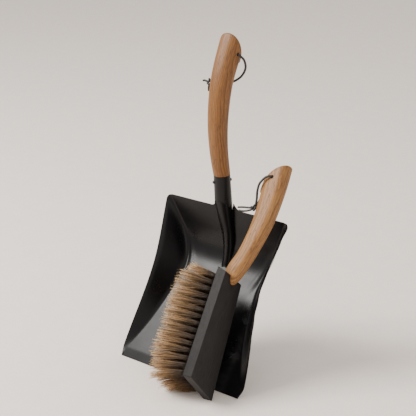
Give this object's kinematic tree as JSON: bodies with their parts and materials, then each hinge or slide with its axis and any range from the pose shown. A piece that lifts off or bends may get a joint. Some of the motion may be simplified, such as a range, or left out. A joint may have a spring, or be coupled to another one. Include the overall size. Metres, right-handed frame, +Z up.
{
  "type": "dust pan and brush set",
  "caption": "Black steel dust pan with flared sides and a bowed wooden handle in a socket, with a hand brush leaning in front, both with leather hanging loops.",
  "frame": {"origin": "on the floor under the middle of the pan's lip", "axes": "+X to the pan's right side, +Y towards the wall it leans to, +Z up"},
  "size_m": [0.207, 0.1942, 0.4441],
  "materials": {
    "black_steel": "satin powder coat",
    "oiled_oak": "oiled",
    "pale_oak": "oiled",
    "black_wood": "fine matt paint with the grain showing",
    "bristle": "natural hair, dark at the roots",
    "leather_cord": "waxed",
    "beech": "raw",
    "steel": "plain",
    "dark_steel": "satin"
  },
  "bodies": {
    "pan": {"pan_tray": "black_steel", "handle_socket": "black_steel", "socket_nails": "dark_steel", "pan_handle": "oiled_oak", "pan_cord": "leather_cord", "pan_cord_knot": "leather_cord", "pan_cord_tails": "leather_cord"},
    "brush": {"brush_block": "black_wood", "brush_handle": "pale_oak", "handle_dowel": "beech", "dowel_pin": "steel", "pin_plug": "black_wood", "tuft_row_1": "bristle", "tuft_row_2": "bristle", "tuft_row_3": "bristle", "tuft_row_4": "bristle", "tuft_row_5": "bristle", "anchor_row_1": "steel", "anchor_row_2": "steel", "anchor_row_3": "steel", "anchor_row_4": "steel", "anchor_row_5": "steel", "brush_cord": "leather_cord", "brush_cord_knot": "leather_cord", "brush_cord_tails": "leather_cord"}
  },
  "joints": [
    {"name": "brush_lift", "type": "slide", "parent": "pan", "child": "brush", "axis": [0, -0.7716, 0.6361], "range_m": [0, 0.15]}
  ]
}
